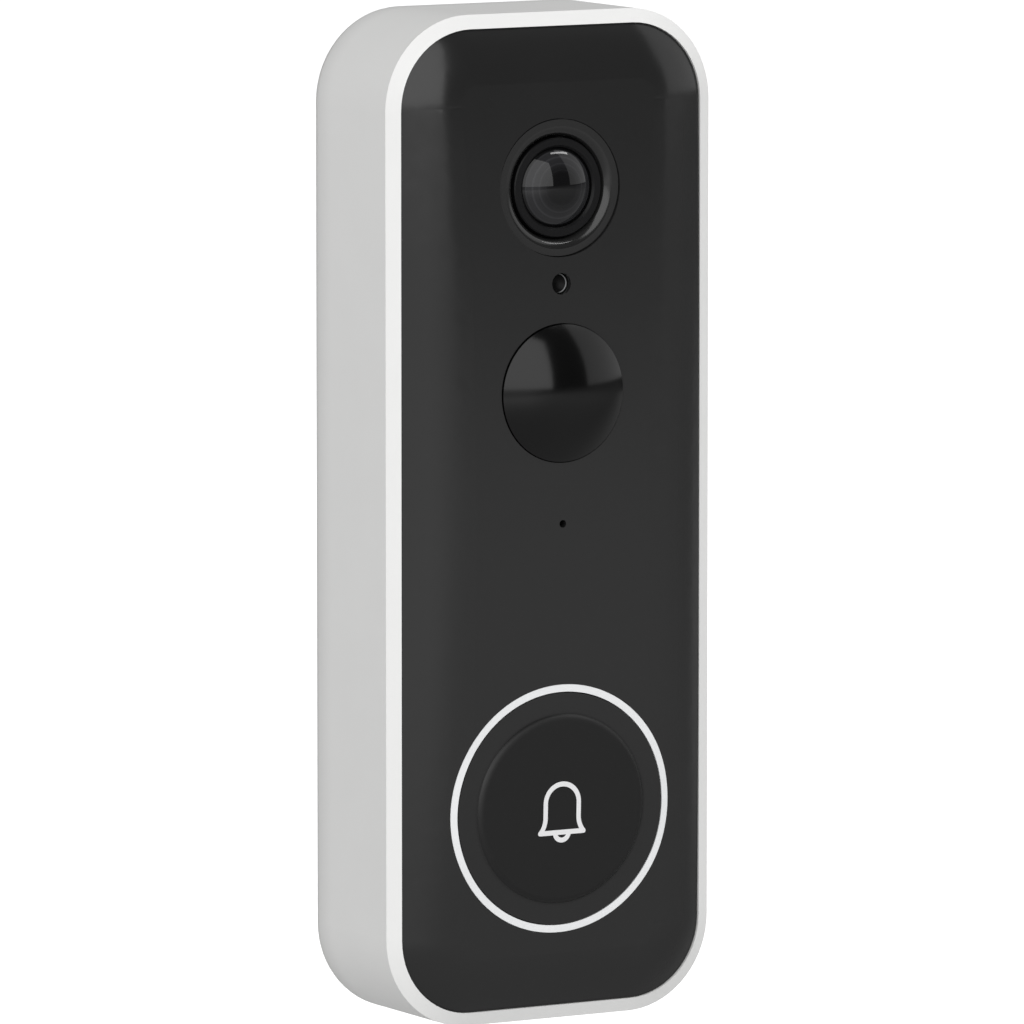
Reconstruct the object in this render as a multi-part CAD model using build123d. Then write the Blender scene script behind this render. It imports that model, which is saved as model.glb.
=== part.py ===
"""Video doorbell: a wall plate, a unit that hangs from it on a pin, and everything the unit holds."""

import os
from math import asin, cos, degrees, sin, tan

from build123d import *

os.makedirs("parts", exist_ok=True)

# All sizes are in millimetres. X runs to the right, Z runs up and the wall is the plane Y = 0.
# The front looks towards -Y. A "depth" is a distance out from the wall, so depth d lies at Y = -d.

# Unit, outside
unit_width = 53.6
unit_height = 146.0
unit_corner = 13.4
wall_gap = 1.2           # clear space between the wall and the back edge of the housing
shell_depth = 22.3       # from the back edge to the outer edge of the rim
back_round = 2.6         # rounding of the back edge
rim_width = 2.0          # bevelled rim, seen from the front, and the wall that ends in it
rim_depth = 1.0          # how far the bevel rises
panel_gap = 0.12         # line between the rim and the panel
panel_rise = 3.2         # how far the panel bulges out past the rim, in its middle
crown_radius = 1400.0    # the face of the panel is crowned along its height
panel_wall = 2.3         # thickness of the panel in its middle
margin_lean = 0.06       # radians by which the block for the margin is steeper than at the rim
edge_core = 0.88         # corner radius left where the rounded margin of the panel meets its flat

# Clearances that many pieces share
root = 0.2               # how far a moulded boss or rib runs into the wall it grows from
slip = 0.1               # a piece that slides or drops into its place
past = 1.0               # how far a cut runs past the face that it opens

# Wall plate and its screw holes
plate_thickness = 2.4
plate_corner = 7.0
plate_margin = 1.5       # between the plate and the sides of the recess it sits in
plate_end_gap = 3.3      # between the plate and the ends of that recess
plate_to_floor = 2.8     # room between the plate and the floor of the recess
recess_rim = 3.3         # back rim of the housing around the recess
window_width = 32.0      # opening for the wires
window_height = 28.0
window_corner = 3.0
screw_hole_r = 2.2
screw_head_r = 3.9
screw_land = 1.0         # straight part of a screw hole, behind its cone
screw_spacing = 96.0

# Hooks of the plate, and the pin of the unit that hangs in them
pin_r = 1.0
pin_drop = 5.7           # below the top end of the recess
pin_fit = 0.05           # running clearance of the pin in the hooks
pin_bevel = 0.25
pin_end = 0.3            # how far the pin stands out past its outer clips
press_fit = 0.02         # clearance of the pin in its clips
hook_wall = 1.3
hook_width = 7.0
hook_lip = 0.4           # how far a hook reaches up past the pin
hook_front = 0.4         # between a hook and the housing in front of it
hook_below = 1.1         # between a hook and the housing below it
hook_above = 1.8         # room over the pin
lug_width = 2.6
lug_wall = 1.1
lug_gap = 0.9            # between a lug and the plate or hook beside it
lug_swing = 1.2          # room in the plate below a lug, for the swing of the unit
lug_mouth = 1.7          # mouth that the pin snaps through

# Latch at the low end
latch_thickness = 0.4
latch_width = 1.6
latch_span = 25.0
latch_play = 0.3         # between the latch and the catch behind it
latch_inset = 1.2        # from the low end of the plate up to the ends of the latch
latch_grip = 1.0         # how far the latch hangs down in front of the catch
latch_ramp = 4.0         # length of each sloping stretch
latch_bend = 1.2         # radius of its bends
latch_tail = 1.2         # how far its ends reach past the middle of their posts
latch_post_width = 3.4
latch_post_height = 3.2
catch_width = 8.0
catch_height = 1.4
catch_reach = 0.7        # how far the catch stands in front of the plate
catch_length = 1.6
catch_nose = 0.3         # height of the catch where its ramp starts
catch_flat = 0.5         # level end of the ramp
release_r = 0.9          # hole for the tool that lifts the latch

# Inside of the housing
back_wall = 2.0
ledge_drop = 4.7         # from the inner edge of the rim down to the ledge under the panel
ledge_thickness = 2.0
ledge_width = 2.2
seal_thickness = 0.8
seal_inset = 0.2         # how far the seal reaches past the ledge
board_drop = 8.6         # from the inside of the panel to the main board
board_thickness = 1.2
board_margin = 1.2       # between the main board and the ledge
board_corner = 6.0

# Places on the front
camera_drop = 25.1       # from the top of the unit to the middle of the camera
sensor_space = 0.33      # between the flanges of the camera bezel and of the light sensor
motion_space = 2.24      # between the flanges of the light sensor and of the motion lens
mic_space = 5.02         # between the flange of the motion lens and the microphone's boot
button_rise = 31.1       # from the bottom of the unit to the middle of the button

# Screws that hold the case together, and their bosses
case_side = 8.8          # from the side of the unit to a case screw
case_end = 11.5          # from the end of the unit to a case screw
case_boss_r = 3.0
case_seat_r = 3.2
case_seat_height = 2.3
case_bore = 1.25
case_blind = 4.0         # solid end of a boss under the panel
case_head_r = 2.1
case_head_height = 1.5
case_shank_r = 1.2
case_length = 9.5
case_sink = 0.3          # how far below the inside of the back wall a head bears
case_hole_fit = 0.2
case_head_fit = 0.3
board_hole_r = 3.5       # clearance in the main board round a boss

# Screws of the main board and the posts they go into
post_side = 2.6          # from the side of the board to a post
post_below_sensor = 3.0
post_below_mic = 12.0
post_r = 2.3
post_bore = 0.9
post_deep = 5.0
small_head_r = 1.8
small_head_height = 1.3
small_shank_r = 0.85
small_length = 5.5
small_hole_r = 1.0

# Light ring
ring_inner = 17.05
ring_width = 1.05
ring_fit = 0.06          # light ring in its collar
collar_wall = 1.7
collar_root = 0.4        # how far the collar runs into the panel
lamp_count = 12
lamp_width = 1.3
lamp_length = 2.0
lamp_height = 0.8
lamp_room = 0.4          # between the lamps and the foot of the light ring
baffle_gap = 0.4
baffle_width = 3.0
baffle_height = 2.4

# Button
button_gap = 0.15
button_thickness = 3.5
button_travel = 0.5
travel_slack = 0.3       # room left when a button is pressed home
skirt_wall = 1.2
skirt_depth = 1.8
cap_rib_width = 1.0
cap_rib_height = 0.8
cap_rib_gap = 0.8        # from the end of a rib to the edge of the cap
pad_margin = 3.1         # flat ring between the pad and the edge of the button
pad_rise = 0.5           # how far the pad stands out
pad_root = 0.5           # how far it runs into the cap
pad_soft = 0.9           # width of the pad's rounded shoulder
stem_r = 3.0
icon_stroke = 0.72
icon_deep = 0.5
bell_r = 2.75
bell_flare = 3.6
bell_height = 7.05
bell_skirt = 2.2         # height of the flared part
bell_lift = 0.15         # middle of the bell above the middle of the button
clapper_r = 1.15
bellows_inset = 0.5      # from the edge of the cap to the bellows
bellows_width = 1.95
bellows_fold = 0.7
bellows_foot = 0.85
switch_size = 6.2
switch_height = 3.4
plunger_r = 1.75
plunger_length = 1.8
plunger_stand = 0.7      # how far the plunger stands out of the switch

# Camera
glass_r = 5.75
glass_rise = 2.0
glass_recess = 1.2
glass_edge = 0.9
glass_lip = 1.3          # flat edge behind the glass
glass_core = 2.0         # thickness of the glass in the middle
glass_fit = 0.05
barrel_wall = 1.43
barrel_gap = 0.25
barrel_recess = 0.6
barrel_fit = 0.04        # barrel in its holder
barrel_round = 0.15
mouth_bevel = 0.3
mouth_deep = 0.3
stop_r = 3.6             # opening at the back of the barrel
stop_thickness = 1.2
spacer_height = 1.5
spacer_bore = 3.0
spacer_lip = 0.4
rear_lens_r = 4.5
rear_lens_length = 3.4
rear_lens_rise = 1.4
bowl_width = 2.4         # bowl round the barrel, seen from the front
bowl_depth = 1.35
bezel_gap = 0.12
bezel_recess = 0.25
bezel_lip = 1.0          # flat edge of the bezel round the bowl
bezel_flange = 1.3
bezel_flange_thick = 1.2
bezel_roof = 1.6         # bezel in front of the holder
bezel_skirt = 1.3
bezel_skirt_gap = 3.2    # between the skirt and the main board
gasket_thickness = 0.4
holder_wall = 0.95
holder_width = 16.4
holder_floor = 0.3       # bottom of the barrel's seat behind the main board
holder_room = 11.0
holder_room_deep = 2.6
holder_hole = 4.0
holder_space = 0.5       # between the holder and the main board
camera_stand = 3.6       # from the main board back to the camera board
camera_board_size = 24.0
camera_board_corner = 1.5
camera_board_thick = 1.0
chip_width = 7.6
chip_height = 6.4
chip_thick = 1.2
ribbon_width = 8.0
ribbon_thick = 0.2
ribbon_lap = 6.0         # length of ribbon on the camera board
ribbon_drop = 3.5        # free stretch below the camera board
ribbon_tail = 4.0        # length of ribbon on the main board
infrared_side = 15.0
infrared_rise = 7.5
infrared_size = 3.5
infrared_height = 1.9

# Motion lens and its sensor
motion_hole = 10.07
motion_gap = 0.15
motion_stand = 0.25      # straight foot of the dome above the face of the panel
motion_rise = 2.75
motion_wall = 1.0
motion_flange = 1.2
motion_flange_thick = 1.0
motion_under = 0.4       # how far the hollow of the dome starts below its foot
can_r = 4.1
can_height = 4.4
can_round = 0.5
can_foot_r = 4.6
can_foot_height = 0.6
filter_width = 4.3
filter_height = 3.3
filter_thick = 0.5
filter_gap = 0.05

# Light sensor and microphone
sensor_hole = 1.55
sensor_gap = 0.1
sensor_recess = 0.9
sensor_dish = 0.7        # hollow in the end of the light pipe
sensor_flange = 2.2
sensor_flange_thick = 1.0
sensor_size = 2.0
sensor_height = 0.8
sensor_room = 0.8        # between the light pipe and the sensor
mic_hole = 0.55
mic_width = 3.6
mic_length = 2.8
mic_height = 1.1
boot_r = 2.6

# Shield and connector on the back of the main board
shield_drop = 0.5        # below the middle of the motion lens
shield_width = 22.0
shield_height = 17.0
shield_deep = 2.2
shield_wall = 0.3
connector_lift = 1.0     # above the microphone
connector_width = 14.0
connector_height = 4.0

# Charge board, socket, reset button
charge_post = 4.3        # height of the charge board above the inside of the back wall
charge_wider = 2.0       # charge board past the wire window, across
charge_lower = 2.0       # and inside it, up and down
charge_corner = 1.5
charge_edge = 2.5        # from the edge of the charge board to its screws
charge_post_r = 2.1
charge_post_bore = 0.9
charge_head_r = 1.7
charge_head_height = 1.1
charge_screw_length = 4.0
socket_width = 9.0
socket_height = 3.3
socket_wall = 0.3
socket_end = 0.6
socket_round = 0.05      # how much less than half its height rounds the socket's ends
tongue_width = 6.7
tongue_thick = 0.7
tongue_recess = 0.7
port_x = -3.5
port_z = -6.2
reset_x = 9.5
reset_r = 1.2
reset_travel = 0.4
reset_slack = 0.5
reset_recess = 0.4
reset_collar = 0.7
reset_collar_thick = 0.6
reset_size = 4.6
reset_height = 1.9
reset_floor = 0.7

# Port cover
cover_width = 15.0
cover_height = 7.6
cover_thick = 1.1
cover_gap = 0.3
cover_rest = 0.05        # between the cover and the floor of the recess
cover_round = 0.4
cover_pull_r = 0.45      # groove for a fingernail
cover_pull_rise = 1.2
cover_pull_end = 4.0
plug_inset = 0.2         # plug of the cover, smaller than the socket
mouth_gap = 0.3          # hole in the back wall, larger than the socket
nub_step = 0.1           # how much thinner the ends of the axle are
nub_length = 0.9
nub_fit = 0.05
axle_room = 0.25

# Wire terminals
terminal_x = 8.0
terminal_z = 7.0
terminal_width = 7.4
terminal_height = 7.0
terminal_thick = 0.8
terminal_fit = 0.05
terminal_head_r = 2.8
terminal_head_height = 1.8
terminal_shank_r = 1.45
terminal_length = 6.0
terminal_bore = 1.5
terminal_post_r = 2.5
terminal_hole = 1.7

# Battery
battery_side = 5.5       # between the battery and the side wall
battery_above = 3.5      # between the battery and the charge board
battery_below = 4.2      # between the battery and the case screws
battery_to_screw = 0.5   # between the battery and the heads of the board screws, where they come lower
battery_under = 0.3      # thickness of the tape that holds it
battery_over = 0.8       # between the battery and the main board
battery_round = 2.0
tape_margin = 3.0
plug_width = 7.0
plug_height = 4.4
plug_thick = 2.2
lead_r = 0.6
lead_pitch = 2.0

# Speaker
speaker_overhang = 0.6   # how far the speaker reaches into the corners of the housing
speaker_height = 4.6
speaker_lift = 0.5       # between the speaker and the back wall
speaker_under = 0.4      # between the speaker and the ledge
speaker_frame = 1.6
speaker_well = 0.8
cone_margin = 3.2
cone_recess = 0.3
cone_thick = 0.6
mesh_thick = 0.3
foam_thick = 0.5
speaker_above = 0.8      # between the speaker and the main board
cradle_thick = 1.4
cradle_gap = 0.7
cradle_short = 1.0       # how far the cradle ends below the top of the speaker
cradle_drop = 0.5
slot_pitch = 2.6
slot_width = 1.3
slot_end = 2.0           # from the end of a slot to the edge of the speaker
slot_side = 2.4          # from the last slot to the side of the speaker

# Antenna
antenna_drop = 2.0       # below the light sensor
antenna_width = 30.0
antenna_height = 9.0
antenna_thick = 0.3

# Depths that follow from the sizes above
side_wall = rim_width
rim_outer = wall_gap + shell_depth
rim_inner = rim_outer + rim_depth
front = rim_inner + panel_rise
recess_floor = plate_thickness + plate_to_floor
inner_floor = recess_floor + back_wall
panel_inside = front - panel_wall
ledge_top = rim_inner - ledge_drop
skirt_end = ledge_top + seal_thickness
board_front = panel_inside - board_drop
board_back = board_front - board_thickness
charge_back = inner_floor + charge_post
charge_front = charge_back + board_thickness

# Outlines that follow from the sizes above
panel_inset = rim_width + panel_gap
edge_width = unit_corner - panel_inset - edge_core
edge_radius = (edge_width**2 + panel_rise**2) / (2 * panel_rise)
edge_angle = asin(edge_width / edge_radius)
recess_width = unit_width - 2 * recess_rim
recess_height = unit_height - 2 * recess_rim
plate_width = recess_width - 2 * plate_margin
plate_height = recess_height - 2 * plate_end_gap
inner_x = unit_width / 2 - side_wall
inner_z = unit_height / 2 - side_wall
ledge_inset = side_wall + ledge_width
ring_outer = ring_inner + ring_width
button_r = ring_inner - button_gap
pad_r = button_r - pad_margin
barrel_r = glass_r + barrel_wall
bowl_bore = barrel_r + barrel_gap
camera_hole = bowl_bore + bowl_width + bezel_gap

# Places that follow from the sizes above
camera_z = unit_height / 2 - camera_drop
sensor_z = camera_z - (camera_hole + bezel_flange + sensor_flange + sensor_space)
motion_z = sensor_z - (sensor_flange + motion_hole + motion_flange + motion_space)
mic_z = motion_z - (motion_hole + motion_flange + boot_r + mic_space)
button_z = button_rise - unit_height / 2
case_x = unit_width / 2 - case_side
case_z = unit_height / 2 - case_end
speaker_low = -inner_z + mesh_thick + foam_thick
speaker_top = speaker_low + speaker_height
speaker_back = inner_floor + speaker_lift
speaker_front = ledge_top - ledge_thickness - speaker_under
speaker_width = unit_width - 2 * unit_corner + 2 * speaker_overhang
board_low = speaker_top + speaker_above
board_width = unit_width - 2 * (ledge_inset + board_margin)
board_top = unit_height / 2 - ledge_inset - board_margin
post_x = board_width / 2 - post_side
post_zs = (sensor_z - post_below_sensor, mic_z - post_below_mic)
charge_width = window_width + charge_wider
charge_height = window_height - charge_lower
charge_x = charge_width / 2 - charge_edge
charge_z = charge_height / 2 - charge_edge
battery_width = 2 * (inner_x - battery_side)
battery_top = min(-charge_height / 2 - battery_above, post_zs[1] - small_head_r - battery_to_screw)
battery_low = -case_z + battery_below
battery_back = inner_floor + battery_under
battery_front = board_back - battery_over
pin_z = recess_height / 2 - pin_drop
pin_depth = plate_thickness + pin_r + pin_fit
hook_r = pin_r + pin_fit + hook_wall
hook_x = lug_width / 2 + lug_gap + hook_width / 2
lug_x = hook_x + hook_width / 2 + lug_gap + lug_width / 2
lug_r = pin_r + lug_wall
latch_z = -plate_height / 2 + latch_inset
latch_tip = -recess_height / 2 + catch_height - latch_grip
catch_front = plate_thickness + catch_reach
latch_back = catch_front + latch_play
cover_back = recess_floor + cover_rest
axle_r = cover_thick / 2
axle_depth = cover_back + axle_r
axle_z = port_z + cover_height / 2
nub_r = axle_r - nub_step


# Helpers

def face_depth(z):
    """Depth of the crowned face of the panel on its middle line, at height z."""
    return front - crown_radius + (crown_radius**2 - z**2) ** 0.5


def front_plane(depth):
    """Plane at a depth from the wall, looking out: its own x and y are X and Z."""
    return Plane(origin=(0, -depth, 0), x_dir=(1, 0, 0), z_dir=(0, -1, 0))


def prism(outline, back, top):
    """Outline drawn in X and Z, made solid between two depths."""
    return extrude(front_plane(back) * outline, amount=top - back)


def prism_x(outline, x_from, x_to):
    """Outline drawn in depth and Z, made solid between two places along X."""
    plane = Plane(origin=(x_to, 0, 0), x_dir=(0, -1, 0), z_dir=(-1, 0, 0))
    return extrude(plane * outline, amount=x_to - x_from)


def prism_z(outline, z_from, z_to):
    """Outline drawn in X and depth, made solid between two heights."""
    plane = Plane(origin=(0, 0, z_to), x_dir=(1, 0, 0), z_dir=(0, 0, -1))
    return extrude(plane * outline, amount=z_to - z_from)


def outline(inset):
    """Outline of the unit, drawn in by an inset on all sides."""
    return RectangleRounded(unit_width - 2 * inset, unit_height - 2 * inset, unit_corner - inset)


def disc(x, z, radius, back, top):
    return prism(Pos(x, z) * Circle(radius), back, top)


def tube(x, z, outer, inner, back, top):
    return prism(Pos(x, z) * (Circle(outer) - Circle(inner)), back, top)


def block(x, z, width, height, back, top):
    return prism(Pos(x, z) * Rectangle(width, height), back, top)


def bar_x(depth, z, radius, x_from, x_to):
    return prism_x(Pos(depth, z) * Circle(radius), x_from, x_to)


def turned(x, z, lines):
    """Closed lines drawn in radius and depth, turned about an axis that points out of the wall."""
    plane = Plane(origin=(x, 0, z), x_dir=(1, 0, 0), z_dir=(0, 0, -1))
    return revolve(plane * make_face(lines), axis=Axis((x, 0, z), (0, -1, 0)))


def turned_points(x, z, points):
    return turned(x, z, Polyline(*points, close=True))


def dome_arc(radius, foot, rise):
    """Arc from the middle of a dome to its foot, in radius and depth. A negative rise makes a dish."""
    ball = (radius**2 + rise**2) / (2 * rise)
    half = asin(radius / ball) / 2
    middle = (ball * sin(half), foot + rise - ball + ball * cos(half))
    return ThreePointArc((0, foot + rise), middle, (radius, foot))


def corners(x, z):
    """The four places at plus and minus x and z."""
    return [(sx * x, sz * z) for sx in (-1, 1) for sz in (-1, 1)]


def together(solids):
    """Separate solids kept in one group."""
    return Compound(children=list(solids))


def screw(x, z, head_r, head_height, shank_r, length, head_depth, way):
    """Pan-head screw with a cross slot. Its shank runs out from head_depth (way 1) or in (way -1)."""
    end = head_depth - way * head_height
    low, high = sorted((head_depth, end))
    head = disc(x, z, head_r, low, high)
    rim = head.faces().sort_by(Axis.Y)[-1 if way > 0 else 0]
    head = fillet(rim.edges(), head_height * 0.35)
    low, high = sorted((end, end + way * head_height * 0.5))
    for width, height in ((head_r * 1.1, head_r * 0.3), (head_r * 0.3, head_r * 1.1)):
        head -= block(x, z, width, height, low, high)
    low, high = sorted((head_depth, head_depth + way * length))
    return head + disc(x, z, shank_r, low, high)


# Front panel

def crowned(back):
    """Solid with the crowned face of the panel and its rounded margin."""
    lean = edge_angle + margin_lean
    low = back - past
    high = front + past
    foot = outline(panel_inset - (rim_inner - low) / tan(lean))
    body = extrude(front_plane(low) * foot, amount=high - low, taper=90 - degrees(lean))
    reach = unit_height
    end = face_depth(reach)
    crown = ThreePointArc((end, -reach), (front, 0), (end, reach))
    below = Polyline((end, reach), (low - past, reach), (low - past, -reach), (end, -reach))
    body = body & prism_x(make_face(crown + below), -unit_width, unit_width)
    body = fillet(body.faces().sort_by(Axis.Y)[0].edges(), edge_radius)
    return body & prism(outline(panel_inset), back, high)


def pillow(shrink, back):
    """Solid for the inside of the panel: flat in front, with the margin's rounding, thinner by shrink."""
    radius = edge_radius - shrink
    width = radius * sin(edge_angle)
    rise = radius * (1 - cos(edge_angle))
    shape = outline(panel_inset + edge_width - width)
    top = front - shrink
    path = (front_plane(top - rise) * shape).wire()
    start = path @ 0
    along = path % 0
    across = Vector(0, -1, 0).cross(along)
    side = 1 if across.dot(start) > 0 else -1
    half = edge_angle / 2
    middle = (-side * (width - radius * sin(half)), rise - radius * (1 - cos(half)))
    edge = ThreePointArc((0, 0), middle, (-side * width, rise))
    rest = Polyline(
        (-side * width, rise),
        (-side * width, rise + past),
        (side * past / 2, rise + past),
        (side * past / 2, -past / 2 * tan(edge_angle)),
        (0, 0),
    )
    profile = Plane(origin=start, x_dir=across, z_dir=along) * make_face(edge + rest)
    return prism(shape, back, top) - sweep(profile, path=path)


def panel_core():
    """Solid that ends a little way into the panel, for what grows from its inside."""
    return pillow(panel_wall - root, inner_floor)


def front_panel():
    panel = crowned(skirt_end) - pillow(panel_wall, skirt_end - past)
    collar_r = ring_outer + ring_fit
    panel += tube(0, button_z, collar_r + collar_wall, collar_r, ledge_top, panel_inside + collar_root)
    core = panel_core()
    foot = inner_floor + case_seat_height + slip
    for x, z in corners(case_x, case_z):
        panel += disc(x, z, case_boss_r, foot, front) & core
        panel -= disc(x, z, case_bore, foot, panel_inside - case_blind)
    for z in post_zs:
        for x in (-post_x, post_x):
            panel += disc(x, z, post_r, board_front, front) & core
            panel -= disc(x, z, post_bore, board_front, board_front + post_deep)
    holes = ((camera_z, camera_hole), (motion_z, motion_hole), (sensor_z, sensor_hole), (mic_z, mic_hole))
    for z, radius in holes:
        panel -= disc(0, z, radius, skirt_end, front + past)
    return panel - disc(0, button_z, collar_r, ledge_top - past, front + past)


def front_seal():
    ring = outline(side_wall + slip) - outline(ledge_inset - seal_inset)
    return prism(ring, ledge_top, skirt_end)


# Light ring and button

def ring_light():
    foot = board_front + lamp_height + lamp_room
    ring = tube(0, button_z, ring_outer, ring_inner, foot, front + past) & crowned(board_front)
    flange = ring_outer + ring_fit + collar_wall - root
    return ring + tube(0, button_z, flange, ring_inner, foot, ledge_top - slip)


def ring_leds():
    place = ring_inner + ring_width / 2
    turns = [i * 360 / lamp_count for i in range(lamp_count)]
    lamps = [Rot(0, 0, turn) * Pos(place, 0) * Rectangle(lamp_width, lamp_length) for turn in turns]
    top = board_front + lamp_height
    return together(prism(Pos(0, button_z) * lamp, board_front, top) for lamp in lamps)


def light_baffle():
    outer = ring_inner - baffle_gap
    return tube(0, button_z, outer, outer - baffle_width, board_front, board_front + baffle_height)


def pad():
    """Raised middle of the button, flat on top with a rounded shoulder, square to the crowned face."""
    face = face_depth(button_z)
    top = face + pad_rise
    low = face - pad_root
    flat = Line((0, top), (pad_r - pad_soft, top))
    shoulder = TangentArc((pad_r - pad_soft, top), (pad_r, face), tangent=(1, 0))
    rest = Polyline((pad_r, face), (pad_r, low), (0, low), (0, top))
    tilt = asin(-button_z / crown_radius)
    axis = Axis((0, -face, button_z), (1, 0, 0))
    return turned(0, button_z, flat + shoulder + rest).rotate(axis, degrees(tilt))


def button_blank():
    under = front - button_thickness
    return (disc(0, button_z, button_r, under, front + past) & crowned(under - past)) + pad()


def bell_shape():
    """Outline strokes of the bell and its clapper, in X and Z."""
    top = button_z + bell_lift + bell_height / 2
    low = top - bell_height
    waist = low + bell_skirt
    middle = top - bell_r
    dome = ThreePointArc((-bell_r, middle), (0, top), (bell_r, middle))
    right = Line((bell_r, middle), (bell_r, waist))
    flare = TangentArc((bell_r, waist), (bell_flare, low), tangent=(0, -1))
    foot = Line((bell_flare, low), (-bell_flare, low))
    back = TangentArc((-bell_r, waist), (-bell_flare, low), tangent=(0, -1))
    left = Line((-bell_r, waist), (-bell_r, middle))
    bell = make_face(dome + right + flare + foot + back + left)
    stroke = offset(bell, icon_stroke / 2) - offset(bell, -icon_stroke / 2)
    reach = clapper_r + icon_stroke / 2
    clapper = Circle(reach) - Circle(clapper_r - icon_stroke / 2)
    below = Pos(0, -reach) * Rectangle(2 * reach + past, 2 * reach)
    return stroke + Pos(0, low) * (clapper & below)


def icon_block():
    top = face_depth(button_z) + pad_rise
    return prism(bell_shape(), top - icon_deep, top + past)


def button_cap():
    under = front - button_thickness
    cap = button_blank() - icon_block()
    cap += tube(0, button_z, button_r, button_r - skirt_wall, under - skirt_depth, under)
    for angle in (0, 60, 120):
        rib = Rectangle(2 * (button_r - cap_rib_gap), cap_rib_width)
        cap += prism(Pos(0, button_z) * Rot(0, 0, angle) * rib, under - cap_rib_height, under)
    return cap + disc(0, button_z, stem_r, board_front + switch_height + plunger_stand, under)


def bell_icon():
    return button_blank() & icon_block()


def button_seal():
    """Soft bellows ring that stands on the baffle and holds the cap up."""
    low = board_front + baffle_height
    high = front - button_thickness - skirt_depth
    middle = (low + high) / 2
    outer = button_r - bellows_inset
    inner = outer - bellows_width
    points = [
        (outer, low), (outer, low + bellows_foot), (outer - bellows_fold, middle),
        (outer, high - bellows_foot), (outer, high), (inner, high), (inner, high - bellows_foot),
        (inner - bellows_fold, middle), (inner, low + bellows_foot), (inner, low),
    ]
    return turned_points(0, button_z, points)


def plunger_low():
    return board_front + switch_height + plunger_stand - plunger_length


def switch_body():
    top = board_front + switch_height
    body = block(0, button_z, switch_size, switch_size, board_front, top)
    well = plunger_low() - button_travel - travel_slack
    return body - disc(0, button_z, plunger_r + slip, well, top + past)


def switch_plunger():
    return disc(0, button_z, plunger_r, plunger_low(), plunger_low() + plunger_length)


# Camera

def camera_seat():
    """Depth of the face that the bezel presses its gasket with."""
    return panel_inside - gasket_thickness


def camera_bezel():
    outer = camera_hole - bezel_gap
    top = face_depth(camera_z) - bezel_recess
    seat = camera_seat()
    low = top - bowl_depth
    socket = barrel_r + holder_wall + slip
    skirt = socket + bezel_skirt
    end = board_front + bezel_skirt_gap
    flange = camera_hole + bezel_flange
    bowl = TangentArc((outer - bezel_lip, top), (bowl_bore, low), tangent=(-1, 0))
    rest = Polyline(
        (bowl_bore, low), (bowl_bore, seat - bezel_roof), (socket, seat - bezel_roof), (socket, end),
        (skirt, end), (skirt, seat - bezel_flange_thick), (flange, seat - bezel_flange_thick),
        (flange, seat), (outer, seat), (outer, top), (outer - bezel_lip, top),
    )
    return turned(0, camera_z, bowl + rest)


def camera_gasket():
    return tube(0, camera_z, camera_hole + bezel_flange, camera_hole, camera_seat(), panel_inside)


def lens_barrel():
    face = face_depth(camera_z)
    top = face - barrel_recess
    floor = face - glass_recess - glass_edge - spacer_height
    bore = glass_r + glass_fit
    rear = rear_lens_r + slip
    stop = board_back + stop_thickness
    points = [
        (bore, top - mouth_deep), (bore + mouth_bevel, top), (barrel_r - barrel_round, top),
        (barrel_r, top - barrel_round), (barrel_r, board_back), (stop_r, board_back), (stop_r, stop),
        (rear, stop), (rear, floor), (bore, floor),
    ]
    return turned_points(0, camera_z, points)


def lens_front():
    foot = face_depth(camera_z) - glass_recess
    back = foot - glass_edge
    inner = glass_r - glass_lip
    under = dome_arc(inner, back, foot + glass_rise - glass_core - back)
    rest = Polyline((glass_r, foot), (glass_r, back), (inner, back))
    axis_line = Line((0, foot + glass_rise - glass_core), (0, foot + glass_rise))
    return turned(0, camera_z, dome_arc(glass_r, foot, glass_rise) + rest + under + axis_line)


def lens_spacer():
    top = face_depth(camera_z) - glass_recess - glass_edge
    low = top - spacer_height
    points = [
        (glass_r - glass_lip, top), (glass_r, top), (glass_r, low), (spacer_bore, low),
        (spacer_bore, low + spacer_lip),
    ]
    return turned_points(0, camera_z, points)


def lens_rear():
    seat = board_back + stop_thickness
    foot = seat + rear_lens_length
    face = dome_arc(rear_lens_r, foot, rear_lens_rise)
    rest = Polyline((rear_lens_r, foot), (rear_lens_r, seat), (0, seat), (0, foot + rear_lens_rise))
    return turned(0, camera_z, face + rest)


def lens_holder():
    board = board_back - camera_stand
    floor = board_back - holder_floor
    holder = block(0, camera_z, holder_width, holder_width, board, floor)
    holder += disc(0, camera_z, barrel_r + holder_wall, floor, camera_seat() - bezel_roof - slip)
    holder -= block(0, camera_z, holder_room, holder_room, board, board + holder_room_deep)
    holder -= disc(0, camera_z, holder_hole, board, board_back)
    return holder - disc(0, camera_z, barrel_r + barrel_fit, board_back, front)


def camera_board():
    top = board_back - camera_stand
    shape = RectangleRounded(camera_board_size, camera_board_size, camera_board_corner)
    return prism(Pos(0, camera_z) * shape, top - camera_board_thick, top)


def image_sensor():
    board = board_back - camera_stand
    return block(0, camera_z, chip_width, chip_height, board, board + chip_thick)


def camera_ribbon():
    """Flat ribbon from the back of the camera board to the back of the main board."""
    back = board_back - camera_stand - camera_board_thick
    edge = camera_z - camera_board_size / 2
    low = edge - ribbon_drop
    thick = ribbon_thick
    strip = Polyline(
        (back, edge + ribbon_lap), (back - thick, edge + ribbon_lap), (back - thick, low - thick),
        (board_back - thick, low - thick), (board_back - thick, low - ribbon_tail),
        (board_back, low - ribbon_tail), (board_back, low), (back, low), close=True,
    )
    return prism_x(make_face(strip), -ribbon_width / 2, ribbon_width / 2)


def infrared_leds():
    places = [(x, camera_z + rise) for x, rise in corners(infrared_side, infrared_rise)]
    top = board_front + infrared_height
    return together(block(x, z, infrared_size, infrared_size, board_front, top) for x, z in places)


# Motion sensor, light sensor, microphone

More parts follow.
